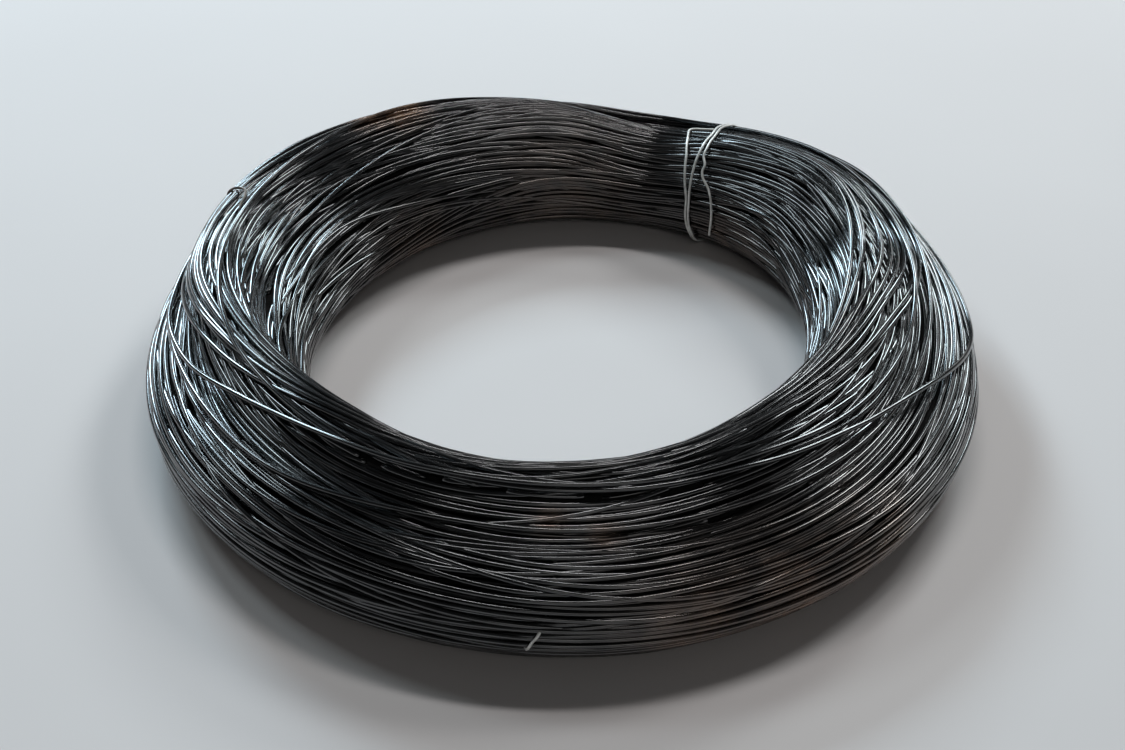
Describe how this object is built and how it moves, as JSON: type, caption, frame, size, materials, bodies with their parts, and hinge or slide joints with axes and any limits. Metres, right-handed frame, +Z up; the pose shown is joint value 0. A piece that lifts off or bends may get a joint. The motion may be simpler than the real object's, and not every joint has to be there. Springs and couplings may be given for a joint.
{
  "type": "coil of black annealed wire",
  "caption": "Flat coil of dark annealed steel wire with an open eye, wound in loose crossing turns and held together by thin tie wires.",
  "frame": {"origin": "on the floor at the centre of the eye", "axes": "+Z up along the coil's axis, +Y away from the side that the picture was taken from"},
  "size_m": [0.5, 0.5016, 0.0862],
  "materials": {
    "black_wire": "black annealed, dark oxide with a satin sheen",
    "bright_tie": "galvanised, bright",
    "dark_tie": "black annealed"
  },
  "bodies": {
    "root": {"coil": "black_wire", "back_tie": "bright_tie", "left_tie": "dark_tie", "front_tie": "bright_tie"}
  },
  "joints": []
}
